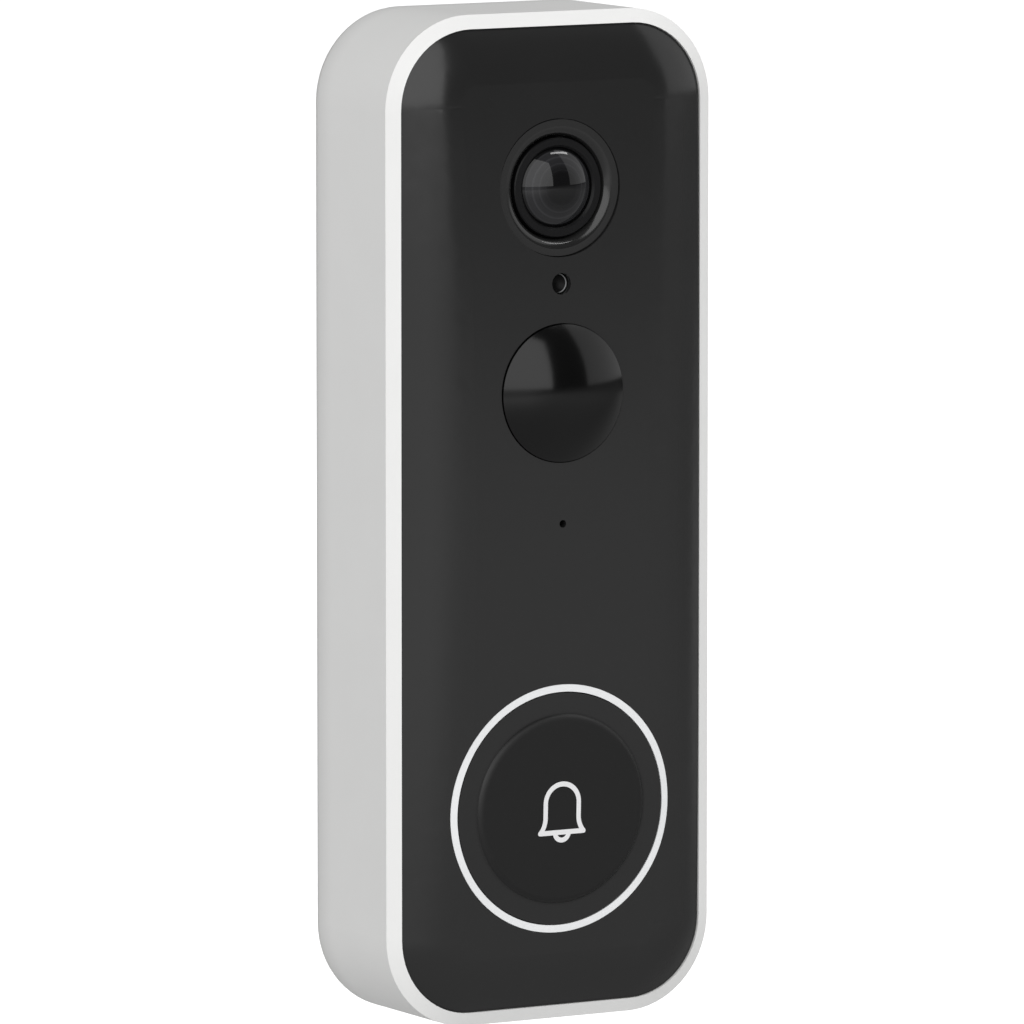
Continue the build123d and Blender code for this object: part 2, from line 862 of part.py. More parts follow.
def motion_lens():
    radius = motion_hole - motion_gap
    foot = face_depth(motion_z) + motion_stand
    inner = radius - motion_wall
    hollow = foot - motion_under
    flange = motion_hole + motion_flange
    low = panel_inside - motion_flange_thick
    crown = foot + motion_rise
    under = dome_arc(inner, hollow, crown - motion_wall - hollow)
    rest = Polyline(
        (radius, foot), (radius, panel_inside), (flange, panel_inside), (flange, low), (inner, low),
        (inner, hollow),
    )
    axis_line = Line((0, crown - motion_wall), (0, crown))
    return turned(0, motion_z, dome_arc(radius, foot, motion_rise) + rest + under + axis_line)


def motion_sensor():
    top = board_front + can_height
    can = disc(0, motion_z, can_r, board_front, top)
    can = fillet(can.faces().sort_by(Axis.Y)[0].edges(), can_round)
    can += disc(0, motion_z, can_foot_r, board_front, board_front + can_foot_height)
    width = filter_width + 2 * filter_gap
    height = filter_height + 2 * filter_gap
    return can - block(0, motion_z, width, height, top - filter_thick, top + past)


def motion_filter():
    top = board_front + can_height
    return block(0, motion_z, filter_width, filter_height, top - filter_thick, top)


def sensor_lens():
    """Light pipe with a hollow front end, held behind the panel by its flange."""
    radius = sensor_hole - sensor_gap
    top = face_depth(sensor_z) - sensor_recess
    low = panel_inside - sensor_flange_thick
    end = board_front + sensor_height + sensor_room
    rest = Polyline(
        (radius, top), (radius, panel_inside), (sensor_flange, panel_inside), (sensor_flange, low),
        (radius, low), (radius, end), (0, end), (0, top - sensor_dish),
    )
    return turned(0, sensor_z, dome_arc(radius, top, -sensor_dish) + rest)


def light_sensor():
    return block(0, sensor_z, sensor_size, sensor_size, board_front, board_front + sensor_height)


def microphone():
    return block(0, mic_z, mic_width, mic_length, board_front, board_front + mic_height)


def mic_boot():
    return tube(0, mic_z, boot_r, mic_hole, board_front + mic_height, panel_inside)


# Boards and what stands on them

def main_board():
    shape = RectangleRounded(board_width, board_top - board_low, board_corner)
    board = prism(Pos(0, (board_top + board_low) / 2) * shape, board_back, board_front)
    for x, z in corners(case_x, case_z):
        board -= disc(x, z, board_hole_r, board_back, board_front)
    for z in post_zs:
        for x in (-post_x, post_x):
            board -= disc(x, z, small_hole_r, board_back, board_front)
    return board - disc(0, camera_z, barrel_r + holder_wall + holder_space, board_back, board_front)


def board_screws():
    places = [(x, z) for x in (-post_x, post_x) for z in post_zs]
    sizes = (small_head_r, small_head_height, small_shank_r, small_length)
    return together(screw(x, z, *sizes, board_back, 1) for x, z in places)


def shield_can():
    z = motion_z - shield_drop
    back = board_back - shield_deep
    inner_width = shield_width - 2 * shield_wall
    inner_height = shield_height - 2 * shield_wall
    can = block(0, z, shield_width, shield_height, back, board_back)
    return can - block(0, z, inner_width, inner_height, back + shield_wall, board_back)


def board_connector():
    return block(0, mic_z + connector_lift, connector_width, connector_height, charge_front, board_back)


def charge_board():
    board = prism(RectangleRounded(charge_width, charge_height, charge_corner), charge_back, charge_front)
    for x, z in corners(charge_x, charge_z):
        board -= disc(x, z, small_hole_r, charge_back, charge_front)
    for x in (-terminal_x, terminal_x):
        board -= disc(x, terminal_z, terminal_hole, charge_back, charge_front)
    return board


def charge_board_screws():
    sizes = (charge_head_r, charge_head_height, small_shank_r, charge_screw_length)
    return together(screw(x, z, *sizes, charge_front, -1) for x, z in corners(charge_x, charge_z))


def socket_shape(grow):
    """Rounded outline of the charge socket, made larger by grow on all sides."""
    height = socket_height + 2 * grow
    shape = RectangleRounded(socket_width + 2 * grow, height, height / 2 - socket_round)
    return Pos(port_x, port_z) * shape


def usb_port():
    mouth = inner_floor + slip
    shell = prism(socket_shape(0), mouth, charge_back)
    shell -= prism(socket_shape(-socket_wall), inner_floor, charge_back - socket_end)
    return shell + block(port_x, port_z, tongue_width, tongue_thick, mouth + tongue_recess, charge_back)


def reset_switch():
    back = charge_back - reset_height
    body = block(reset_x, port_z, reset_size, reset_size, back, charge_back)
    return body - disc(reset_x, port_z, reset_r + slip, back, charge_back - reset_floor)


def reset_stem():
    end = charge_back - reset_floor - reset_travel - reset_slack
    collar = inner_floor + slip
    stem = disc(reset_x, port_z, reset_r, recess_floor + reset_recess, end)
    return stem + disc(reset_x, port_z, reset_r + reset_collar, collar, collar + reset_collar_thick)


terminal_places = [(-terminal_x, terminal_z), (terminal_x, terminal_z)]


def terminal_screws():
    sizes = (terminal_head_r, terminal_head_height, terminal_shank_r, terminal_length)
    return together(screw(x, z, *sizes, recess_floor, 1) for x, z in terminal_places)


def terminal_plates():
    plate = Rectangle(terminal_width, terminal_height) - Circle(terminal_bore)
    top = recess_floor + terminal_thick
    return together(prism(Pos(x, z) * plate, recess_floor, top) for x, z in terminal_places)


def terminal_posts():
    sizes = (terminal_post_r, terminal_bore, inner_floor, charge_back)
    return together(tube(x, z, *sizes) for x, z in terminal_places)


# Battery, speaker, antenna

def battery_block(margin, back, top):
    middle = (battery_top + battery_low) / 2
    height = battery_top - battery_low
    return block(0, middle, battery_width - 2 * margin, height - 2 * margin, back, top)


def battery_pack():
    cell = battery_block(0, battery_back, battery_front)
    return fillet(cell.edges().filter_by(Axis.Z), battery_round)


def battery_tape():
    return battery_block(tape_margin, inner_floor, battery_back)


def battery_plug():
    z = -charge_height / 2 + plug_height / 2 - root
    return block(0, z, plug_width, plug_height, charge_back - plug_thick, charge_back)


def battery_leads():
    wires = [Pos(i * lead_pitch, charge_back - plug_thick / 2) * Circle(lead_r) for i in (-1, 0, 1)]
    return together(prism_z(wire, battery_top, -charge_height / 2 - root) for wire in wires)


def speaker_outline(margin):
    middle = (speaker_back + speaker_front) / 2
    depth = speaker_front - speaker_back - 2 * margin
    return Pos(0, middle) * Rectangle(speaker_width - 2 * margin, depth)


def speaker():
    body = prism_z(speaker_outline(0), speaker_low, speaker_top)
    hollow = prism_z(speaker_outline(speaker_frame), speaker_low, speaker_low + speaker_well)
    cone_low = speaker_low + cone_recess
    cone = prism_z(speaker_outline(cone_margin), cone_low, cone_low + cone_thick)
    return body - hollow + cone


def speaker_gasket():
    ring = speaker_outline(0) - speaker_outline(speaker_frame)
    return prism_z(ring, -inner_z + mesh_thick, speaker_low)


def speaker_mesh():
    return prism_z(speaker_outline(speaker_overhang), -inner_z, -inner_z + mesh_thick)


def antenna():
    top = inner_floor + antenna_thick
    return block(0, sensor_z - antenna_drop, antenna_width, antenna_height, inner_floor, top)


def case_screws():
    sizes = (case_head_r, case_head_height, case_shank_r, case_length)
    return together(screw(x, z, *sizes, inner_floor - case_sink, 1) for x, z in corners(case_x, case_z))


# Wall plate, latch, pin

def hook():
    """Open-topped hook in depth and Z that the pin drops into."""
    groove = pin_r + pin_fit
    low = pin_z - hook_r
    high = pin_z + pin_r + hook_lip
    back = plate_thickness - root
    tip = pin_depth + hook_r
    body = Pos((back + tip) / 2, (low + high) / 2) * Rectangle(tip - back, high - low)
    body -= Pos(pin_depth, pin_z) * Circle(groove)
    return body - Pos(pin_depth, pin_z + hook_r) * Rectangle(2 * groove, 2 * hook_r)


def screw_hole(z):
    return turned_points(0, z, [
        (0, 0), (screw_hole_r, 0), (screw_hole_r, screw_land), (screw_head_r, plate_thickness),
        (0, plate_thickness),
    ])


def wall_plate():
    plate = prism(RectangleRounded(plate_width, plate_height, plate_corner), 0, plate_thickness)
    plate -= prism(RectangleRounded(window_width, window_height, window_corner), 0, plate_thickness)
    top = plate_height / 2 + past
    low = pin_z - lug_r - lug_swing
    for x in (-lug_x, 0, lug_x):
        plate -= block(x, (top + low) / 2, lug_width + 2 * lug_gap, top - low, 0, plate_thickness)
    for x in (-hook_x, hook_x):
        plate += prism_x(hook(), x - hook_width / 2, x + hook_width / 2)
    for z in (-screw_spacing / 2, screw_spacing / 2):
        plate -= screw_hole(z)
    tip = latch_back + latch_width
    for x in (-latch_span / 2, latch_span / 2):
        plate += block(x, latch_z, latch_post_width, latch_post_height, plate_thickness - root, tip)
    slot = Pos((latch_back + tip) / 2, latch_z) * Rectangle(latch_width, latch_thickness)
    half = latch_span / 2 + latch_post_width
    return plate - prism_x(slot, -half, half)


def latch_spring():
    """Bowed strip: its ends sit in the plate, and its middle dips in front of the catch."""
    half = latch_span / 2 + latch_tail
    tip = latch_tip + latch_thickness / 2
    flat = catch_width / 2
    path = FilletPolyline(
        (-half, latch_z), (-flat - latch_ramp, latch_z), (-flat, tip), (flat, tip),
        (flat + latch_ramp, latch_z), (half, latch_z), radius=latch_bend,
    )
    return prism(trace(path, latch_thickness), latch_back, latch_back + latch_width)


def hanger_pin():
    half = lug_x + lug_width / 2 + pin_end
    return chamfer(bar_x(pin_depth, pin_z, pin_r, -half, half).edges(), pin_bevel)


# Port cover

def port_cover():
    top = cover_back + cover_thick
    leaf = block(port_x, axle_z - cover_height / 2, cover_width, cover_height, cover_back, top)
    lip = leaf.faces().sort_by(Axis.Z)[0].edges().filter_by(Axis.X)
    leaf = fillet(lip, cover_round)
    left = port_x - cover_width / 2
    right = port_x + cover_width / 2
    leaf += bar_x(axle_depth, axle_z, axle_r, left, right)
    leaf += bar_x(axle_depth, axle_z, nub_r, left - nub_length, right + nub_length)
    leaf += prism(socket_shape(-plug_inset), top, inner_floor)
    pull = Pos(cover_back, axle_z - cover_height + cover_pull_rise) * Circle(cover_pull_r)
    return leaf - prism_x(pull, left + cover_pull_end, right - cover_pull_end)


def cover_pocket():
    """Room in the back wall for the port cover, its axle and the plug that goes through."""
    floor = axle_depth + axle_r + axle_room
    low = axle_z - cover_height - cover_gap
    high = axle_z + axle_r + cover_gap
    pocket = block(port_x, (low + high) / 2, cover_width + 2 * cover_gap, high - low, wall_gap, floor)
    half = cover_width / 2 + nub_length + slip
    pocket += bar_x(axle_depth, axle_z, nub_r + nub_fit, port_x - half, port_x + half)
    return pocket + prism(socket_shape(mouth_gap), floor, inner_floor)


# Rear housing

def shell():
    """Outer form: straight sides, rounded back edge, bevelled rim."""
    body = prism(outline(0), wall_gap, rim_outer)
    body = fillet(body.faces().sort_by(Axis.Y)[-1].edges(), back_round)
    rim_edges = [front_plane(rim_outer) * outline(0), front_plane(rim_inner) * outline(rim_width)]
    body += loft(rim_edges, ruled=True)
    body -= prism(outline(side_wall), inner_floor, rim_inner + past)
    recess = RectangleRounded(recess_width, recess_height, unit_corner - recess_rim)
    return body - prism(recess, wall_gap - past, recess_floor)


def pin_lug(x):
    """Clip that the hanger pin snaps into from the back."""
    web = Pos((pin_depth + inner_floor) / 2, pin_z) * Rectangle(inner_floor - pin_depth, 2 * lug_r)
    shape = Pos(pin_depth, pin_z) * Circle(lug_r) + web
    shape -= Pos(pin_depth, pin_z) * Circle(pin_r + press_fit)
    shape -= Pos(pin_depth - lug_r, pin_z) * Rectangle(2 * lug_r, lug_mouth)
    return prism_x(shape, x - lug_width / 2, x + lug_width / 2)


def catch():
    """Ramped rib that snaps past the latch spring."""
    foot = -recess_height / 2
    back = catch_front - catch_length
    ramp = Polyline(
        (back, foot - root), (back, foot + catch_nose), (catch_front - catch_flat, foot + catch_height),
        (catch_front, foot + catch_height), (catch_front, foot - root), close=True,
    )
    return prism_x(make_face(ramp), -catch_width / 2, catch_width / 2)


def speaker_slots():
    middle = (speaker_back + speaker_front) / 2
    length = speaker_front - speaker_back - 2 * slot_end
    each_side = int((speaker_width / 2 - slot_side) / slot_pitch)
    places = [i * slot_pitch for i in range(-each_side, each_side + 1)]
    slots = [Pos(x, middle) * SlotOverall(length, slot_width, rotation=90) for x in places]
    return [prism_z(slot, -unit_height / 2 - past, -inner_z) for slot in slots]


def case_bosses(body):
    """Seats for the case screws, with their holes, and posts for the charge board."""
    seat = inner_floor + case_seat_height
    for x, z in corners(case_x, case_z):
        body += disc(x, z, case_seat_r, inner_floor - root, seat)
        body -= disc(x, z, case_shank_r + case_hole_fit, recess_floor, seat)
        body -= disc(x, z, case_head_r + case_head_fit, recess_floor, inner_floor - case_sink)
    for x, z in corners(charge_x, charge_z):
        body += tube(x, z, charge_post_r, charge_post_bore, inner_floor, charge_back)
    return body


def speaker_cradle(body):
    """Two ribs that hold the speaker from the sides, and the slots that the sound leaves through."""
    depth = speaker_front - inner_floor
    for side in (-1, 1):
        x = side * (speaker_width / 2 + cradle_gap + cradle_thick / 2)
        rib = Pos(x, inner_floor + depth / 2 - cradle_drop) * Rectangle(cradle_thick, depth)
        body += prism_z(rib, -inner_z - root, speaker_top - cradle_short)
    for slot in speaker_slots():
        body -= slot
    return body


def hanging_side(body):
    """Room for the hooks, the clips of the pin, the catch and the hole of the release tool."""
    width = 2 * (lug_x - lug_width / 2 - root)
    high = pin_z + pin_r + hook_above
    low = pin_z - hook_r - hook_below
    body -= block(0, (high + low) / 2, width, high - low, recess_floor, pin_depth + hook_r + hook_front)
    for x in (-lug_x, 0, lug_x):
        body += pin_lug(x)
    release = Pos(0, latch_back + latch_width / 2) * Circle(release_r)
    return body + catch() - prism_z(release, -unit_height / 2 - past, -recess_height / 2)


def rear_housing():
    body = shell()
    ledge = outline(side_wall - root) - outline(ledge_inset)
    body += prism(ledge, ledge_top - ledge_thickness, ledge_top)
    body = hanging_side(speaker_cradle(case_bosses(body)))
    body -= cover_pocket()
    body -= disc(reset_x, port_z, reset_r + slip, recess_floor, inner_floor)
    pocket_width = terminal_width + 2 * terminal_fit
    pocket_height = terminal_height + 2 * terminal_fit
    for x, z in terminal_places:
        body -= block(x, z, pocket_width, pocket_height, recess_floor, recess_floor + terminal_thick)
        body -= disc(x, z, terminal_hole, recess_floor, inner_floor)
    return body


pieces = (
    wall_plate, latch_spring, rear_housing, hanger_pin, front_panel, front_seal, ring_light, ring_leds,
    light_baffle, button_cap, bell_icon, button_seal, switch_body, switch_plunger, camera_bezel,
    camera_gasket, lens_barrel, lens_front, lens_spacer, lens_rear, lens_holder, camera_board,
    image_sensor, camera_ribbon, infrared_leds, motion_lens, motion_sensor, motion_filter, sensor_lens,
    light_sensor, microphone, mic_boot, main_board, board_screws, shield_can, board_connector,
    charge_board, charge_board_screws, usb_port, reset_switch, reset_stem, terminal_screws,
    terminal_plates, terminal_posts, battery_pack, battery_tape, battery_plug, battery_leads, speaker,
    speaker_gasket, speaker_mesh, antenna, case_screws, port_cover,
)

for piece in pieces:
    made = piece()
    export_step(made, f"parts/{piece.__name__}.step")
    size = made.bounding_box().size
    print(f"{piece.__name__:20s} {made.volume:9.1f} mm3  {size.X:6.1f} {size.Y:6.1f} {size.Z:6.1f}")
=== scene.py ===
# %% [markdown]
# # A video doorbell, dressed for its picture
# The doorbell hangs on a wall plate: a pale moulded housing, a black front panel, and in that panel a
# camera, a light sensor, a domed motion sensor, a microphone hole and a push button in a ring of light.
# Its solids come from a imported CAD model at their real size. This lesson gives each of them its finish,
# models the fine pieces that only the eye needs, and lights the whole in a small white studio.
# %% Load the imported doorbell
from math import cos, pi, radians, sin, tan

import bpy
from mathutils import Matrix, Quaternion, Vector


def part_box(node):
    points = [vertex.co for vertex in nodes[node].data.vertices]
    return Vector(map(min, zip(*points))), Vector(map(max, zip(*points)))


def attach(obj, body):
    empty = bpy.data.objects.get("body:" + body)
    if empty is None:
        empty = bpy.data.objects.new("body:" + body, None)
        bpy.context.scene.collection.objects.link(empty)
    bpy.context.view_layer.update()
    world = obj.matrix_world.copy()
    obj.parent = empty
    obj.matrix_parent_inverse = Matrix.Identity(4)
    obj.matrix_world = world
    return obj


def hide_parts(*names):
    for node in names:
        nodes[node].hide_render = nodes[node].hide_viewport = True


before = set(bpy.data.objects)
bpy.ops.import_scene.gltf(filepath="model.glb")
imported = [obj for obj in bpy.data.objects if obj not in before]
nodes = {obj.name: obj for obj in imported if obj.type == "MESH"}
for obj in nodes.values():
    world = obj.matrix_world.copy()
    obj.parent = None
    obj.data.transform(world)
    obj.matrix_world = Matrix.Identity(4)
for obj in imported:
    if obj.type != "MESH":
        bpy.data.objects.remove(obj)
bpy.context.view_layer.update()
MM = 0.001
bpy.ops.object.select_all(action="DESELECT")
print("pieces from the CAD model:", len(nodes))

# %% [markdown]
# Every piece already lies where it belongs, so places are read from the pieces and never typed twice.
# X runs to the right, Z runs up, and the front of the doorbell looks towards -Y.
# %% Read places from the pieces
def middle(node):
    """Centre of a CAD piece, in metres."""
    low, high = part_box(node)
    return (Vector(low) + Vector(high)) / 2


def front_of(node):
    """The Y of a CAD piece's frontmost point."""
    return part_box(node)[0][1]


button_z = middle("button_cap").z
lens_z = middle("lens_front").z
rim_y = front_of("rear_housing")
panel_y = front_of("front_panel")
print("button, lens (mm):", round(button_z / MM, 2), round(lens_z / MM, 2))
print("rim, panel (mm):", round(rim_y / MM, 2), round(panel_y / MM, 2))

# %% [markdown]
# Blender's shaders are graphs of nodes, and wiring them by hand in code soon hides the idea behind the
# wires. A small class that wraps one output of a node cures that: adding or multiplying two of them
# adds the Math node, so a finish can be written as a plain formula.
# %% Shader arithmetic
class Shade:
    """One output of a shader node, on which arithmetic adds Math nodes."""

    def __init__(self, tree, socket):
        self.tree = tree
        self.socket = socket

    def node(self, kind, values=None, output=0, **settings):
        """Adds a node, sets its settings and then its sockets, and gives one of its outputs."""
        made = self.tree.nodes.new("ShaderNode" + kind)
        for name, setting in settings.items():
            setattr(made, name, setting)
        for key, value in (values or {}).items():
            feed(self.tree, made.inputs[key], value)
        return Shade(self.tree, made.outputs[output])

    def math(self, operation, *others):
        """A Math node whose first number is this value."""
        return self.node("Math", dict(enumerate((self, *others))), operation=operation)

    def __add__(self, other):
        return self.math("ADD", other)

    def __sub__(self, other):
        return self.math("SUBTRACT", other)

    def __rsub__(self, other):
        return self.node("Math", {0: other, 1: self}, operation="SUBTRACT")

    def __mul__(self, other):
        return self.math("MULTIPLY", other)

    def __truediv__(self, other):
        return self.math("DIVIDE", other)

    def __pow__(self, other):
        return self.math("POWER", other)

    __radd__ = __add__
    __rmul__ = __mul__

    def part(self, letter):
        """The X, Y or Z of a vector."""
        return self.node("SeparateXYZ", {0: self}, output=letter)

    def ramp(self, start, end):
        """0 up to start, 1 from end on, and a smooth step between them."""
        span = {"Value": self, "From Min": start, "From Max": end}
        return self.node("MapRange", span, interpolation_type="SMOOTHSTEP")

    def blend(self, low, high):
        """A colour that goes from low to high as this value goes from 0 to 1."""
        return self.node("Mix", {0: self, 6: low, 7: high}, output=2, data_type="RGBA")


def feed(tree, socket, value):
    """Links a Shade to a socket, or sets a plain value on it."""
    if isinstance(value, Shade):
        tree.links.new(value.socket, socket)
    else:
        socket.default_value = value


print("shader arithmetic is ready")

# %% [markdown]
# A finish here is a function: it gets the piece's own coordinates, in metres, and returns what the
# Principled shader's sockets take. Three patterns serve nearly all of them: soft mottling, a bump made
# from it, and the distance from an axis that runs front to back.
# %% Tools for finishes
def colour(red, green, blue):
    """A shader colour from the 0 to 255 numbers of a colour picker."""
    tones = [value / 255 for value in (red, green, blue)]
    linear = [t / 12.92 if t <= 0.04045 else ((t + 0.055) / 1.055) ** 2.4 for t in tones]
    return (*linear, 1.0)


def speckle(at, size, detail=2.0):
    """Soft random mottling from 0 to 1, with spots about size millimetres across."""
    return at.node("TexNoise", {"Vector": at, "Scale": 1 / (size * MM), "Detail": detail})


def dents(at, height, depth):
    """Normals of a surface that height, from 0 to 1, lifts by depth millimetres."""
    return at.node("Bump", {"Height": height, "Distance": depth * MM}, output="Normal")


def stretched(at, x, y, z):
    """Coordinates scaled along each axis, for patterns that run one way."""
    return at.node("Mapping", {"Vector": at, "Scale": (x, y, z)})


def off_axis(at, x, z):
    """Distance in metres from the line along Y through x, z."""
    across = at.part("X") - x
    up = at.part("Z") - z
    return (across * across + up * up) ** 0.5


def finish(name, recipe):
    """A new material whose Principled sockets take what recipe(coordinates) returns."""
    made = bpy.data.materials.new(name)
    made.use_nodes = True
    tree = made.node_tree
    shader = tree.nodes["Principled BSDF"]
    start = Shade(tree, None)
    at = start.node("TexCoord", output="Object")
    for key, value in recipe(at).items():
        feed(tree, shader.inputs[key], value)
    return made


def wear(material, *names):
    """Puts a material on CAD pieces."""
    for name in names:
        nodes[name].data.materials.clear()
        nodes[name].data.materials.append(material)


print("tools for finishes are ready")

# %% [markdown]
# The housing is pale injection-moulded plastic. Its mould was spark-eroded, which leaves a fine, even
# grain on the walls, while the narrow bevel round the front is smoother and looks a shade brighter.
# A mask on the depth tells the two apart, and a second one paints shade into the colour: it greys
# the walls a little towards the back.
# %% Finish of the housing
bevel_foot = rim_y + 1.0 * MM
wall_start = bevel_foot + 0.4 * MM
back_shade_start = -8.0 * MM


def housing_recipe(at):
    grain = speckle(at, size=0.25)
    cloud = speckle(at, size=9.0)
    walls = at.part("Y").ramp(bevel_foot, wall_start)
    # painted shade: the walls darken towards the back
    painted_back_shade = at.part("Y").ramp(back_shade_start, 0)
    front_tone = cloud.blend(colour(227, 227, 226), colour(230, 230, 229))
    return {
        "Base Color": painted_back_shade.blend(front_tone, colour(204, 204, 203)),
        "Roughness": 0.5 + 0.08 * walls + 0.08 * grain,
        "Specular IOR Level": 0.3,
        "Normal": dents(at, grain * walls, depth=0.006),
    }


housing = finish("pale_housing", housing_recipe)
wear(housing, "rear_housing")
print("grain on the walls, smooth bevel from y =", round(bevel_foot / MM, 2), "mm")

# %% [markdown]
# The front panel is glossy black plastic with a faint orange peel, the slow ripple that a polished
# mould leaves. A breath of haze on the gloss keeps its reflections soft-edged.
# %% Finish of the front panel
def panel_recipe(at):
    haze = speckle(at, size=14.0)
    ripple = speckle(at, size=5.0, detail=0.0)
    return {
        "Base Color": haze.blend(colour(31, 31, 31), colour(33, 33, 33)),
        "Roughness": 0.15 + 0.04 * haze,
        "Specular IOR Level": 0.35,
        "Normal": dents(at, ripple, depth=0.001),
    }


panel = finish("black_panel", panel_recipe)
wear(panel, "front_panel")
print("black panel done")

# %% [markdown]
# The button is one black moulding with two textures: a polished ring, flush with the panel, and a
# raised pad that is etched matt so that a finger finds it. The distance from the button's axis tells
# them apart.
# %% Finish of the button
pad_edge = 14.3 * MM
pad_shoulder = 1.2 * MM


def button_recipe(at):
    pad = 1 - off_axis(at, 0, button_z).ramp(pad_edge - pad_shoulder, pad_edge)
    etch = speckle(at, size=0.12)
    haze = speckle(at, size=12.0)
    return {
        "Base Color": pad.blend(colour(34, 34, 34), colour(17, 17, 17)),
        "Roughness": 0.15 + 0.04 * haze + pad * (0.4 + 0.1 * etch),
        "Specular IOR Level": 0.3,
        "Normal": dents(at, pad * etch, depth=0.004),
    }


button = finish("button_black", button_recipe)
wear(button, "button_cap")
print("matt pad out to", round(pad_edge / MM, 1), "mm from the button's axis")

# %% [markdown]
# The ring and the bell are the only pale things on the front. The ring is milky plastic that spreads
# the light of the lamps behind it, so it is faintly cloudy; the bell is an inlay with a dry surface.
# %% Finishes of the ring and the bell
def milky_recipe(at):
    cloud = speckle(at, size=2.5)
    return {
        "Base Color": cloud.blend(colour(229, 230, 231), colour(234, 235, 236)),
        "Roughness": 0.3 + 0.1 * cloud,
        "Normal": dents(at, speckle(at, size=0.3), depth=0.002),
    }


def inlay_recipe(at):
    grain = speckle(at, size=0.15)
    return {
        "Base Color": grain.blend(colour(224, 224, 225), colour(232, 232, 233)),
        "Roughness": 0.45 + 0.1 * grain,
        "Normal": dents(at, grain, depth=0.003),
    }


wear(finish("milky_ring", milky_recipe), "ring_light")
wear(finish("bell_inlay", inlay_recipe), "bell_icon")
print("ring and bell done")

# %% [markdown]
# The motion dome and the front lens are clean pieces of a sphere, and what they mirror shows the least
# dent, so each is cut off a finely divided sphere. Bisect takes points within a tenth of a millimetre of
# its plane as lying on it, which is coarse at this size, so its threshold is set to 0. From the cut rim,
# flat rings and straight walls are added one by one, and doubles are merged at the end.
# %% Tools for caps and rings
round_segments = 96
cap_rings = 180
weld_gap = 0.002 * MM
crease_angle = radians(30)


def cap(name, foot_r, rise, top, z):
    """Cuts a cap off a sphere, with its middle at Y top. Its rim stays selected, in edit mode."""
    ball = (foot_r**2 + rise**2) / (2 * rise)
    bpy.ops.object.select_all(action="DESELECT")
    bpy.ops.mesh.primitive_uv_sphere_add(
        segments=round_segments, ring_count=cap_rings, radius=ball,
        location=(0, top + ball, z), rotation=(pi / 2, 0, 0),
    )
    made = bpy.context.object
    made.name = name
    bpy.ops.object.transform_apply(location=True, rotation=True, scale=True)
    bpy.ops.object.mode_set(mode="EDIT")
    bpy.ops.mesh.select_all(action="SELECT")
    bpy.ops.mesh.bisect(
        plane_co=(0, top + rise, z), plane_no=(0, 1, 0), clear_outer=True, threshold=0,
    )
    return made


def step(to, start):
    """Adds a flat ring from the selected rim of radius start to radius to."""
    bpy.ops.mesh.extrude_region_move()
    bpy.ops.transform.resize(value=(to / start, 1, to / start))
    return to


def drop(by):
    """Adds a straight wall that runs back from the selected rim."""
    bpy.ops.mesh.extrude_region_move(TRANSFORM_OT_translate={"value": (0, by, 0)})


def settle(piece, node):
    """Ends the modelling of a piece that takes the place of a CAD piece of the unit."""
    bpy.ops.object.mode_set(mode="EDIT")
    bpy.ops.mesh.select_all(action="SELECT")
    bpy.ops.mesh.remove_doubles(threshold=weld_gap)
    bpy.ops.mesh.normals_make_consistent(inside=False)
    bpy.ops.object.mode_set(mode="OBJECT")
    bpy.ops.object.shade_smooth_by_angle(angle=crease_angle)
    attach(piece, "unit")
    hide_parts(node)
    print(piece.name, "has", len(piece.data.polygons), "faces")


print("tools for caps and rings are ready")

# %% [markdown]
# The dome over the motion sensor is a thin shell of dark polyethylene, which heat passes through. The rim
# of its cap runs back into the case and turns out into a flange, and then the whole gets a wall.
# %% Motion dome
dome_r = 9.92 * MM
dome_rise = 2.75 * MM
dome_wall = 1.0 * MM
dome_low, dome_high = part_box("motion_lens")
dome = cap("motion_dome", dome_r, dome_rise, dome_low[1], middle("motion_lens").z)
drop(dome_high[1] - dome_wall - dome_low[1] - dome_rise)
step(dome_high[0], dome_r)
bpy.ops.object.mode_set(mode="OBJECT")
bpy.ops.object.modifier_add(type="SOLIDIFY")
dome.modifiers[-1].thickness = dome_wall
dome.modifiers[-1].offset = -1
dome.modifiers[-1].use_even_offset = True
bpy.ops.object.modifier_apply(modifier=dome.modifiers[-1].name)
settle(dome, "motion_lens")


# %% [markdown]
# The shell is nearly black and shines like the panel, with the faint ripple of a moulding.
# %% Finish of the motion dome
def dome_recipe(at):
    haze = speckle(at, size=7.0)
    return {
        "Base Color": haze.blend(colour(4, 4, 4), colour(7, 7, 7)),
        "Roughness": 0.12 + 0.04 * haze,
        "Specular IOR Level": 0.28,
        "Normal": dents(at, speckle(at, size=3.0, detail=0.0), depth=0.0006),
    }


dome.data.materials.append(finish("motion_dome", dome_recipe))
print("motion dome done")

# %% [markdown]
# Round the lens sits a shallow black bowl, moulded with a satin face, and in it the lens barrel, whose
# end is turned: its fine rings come from a wave pattern on the distance from the lens's axis.
# %% Finishes of the bowl and the barrel
turning_pitch = 0.12 * MM


def bowl_recipe(at):
    haze = speckle(at, size=5.0)
    return {
        "Base Color": haze.blend(colour(26, 26, 26), colour(29, 29, 29)),
        "Roughness": 0.14 + 0.06 * haze,
        "Specular IOR Level": 0.42,
        "Normal": dents(at, speckle(at, size=0.3), depth=0.001),
    }


def barrel_recipe(at):
    rings = (off_axis(at, 0, lens_z) * (2 * pi / turning_pitch)).math("SINE") * 0.5 + 0.5
    return {
        "Base Color": rings.blend(colour(14, 14, 15), colour(17, 17, 18)),
        "Roughness": 0.34 + 0.1 * speckle(at, size=0.4),
        "Specular IOR Level": 0.15,
        "Normal": dents(at, rings, depth=0.003),
    }


wear(finish("camera_bowl", bowl_recipe), "camera_bezel")
barrel = finish("lens_barrel", barrel_recipe)
wear(barrel, "lens_barrel", "lens_holder")
print("turned rings every", turning_pitch / MM, "mm")

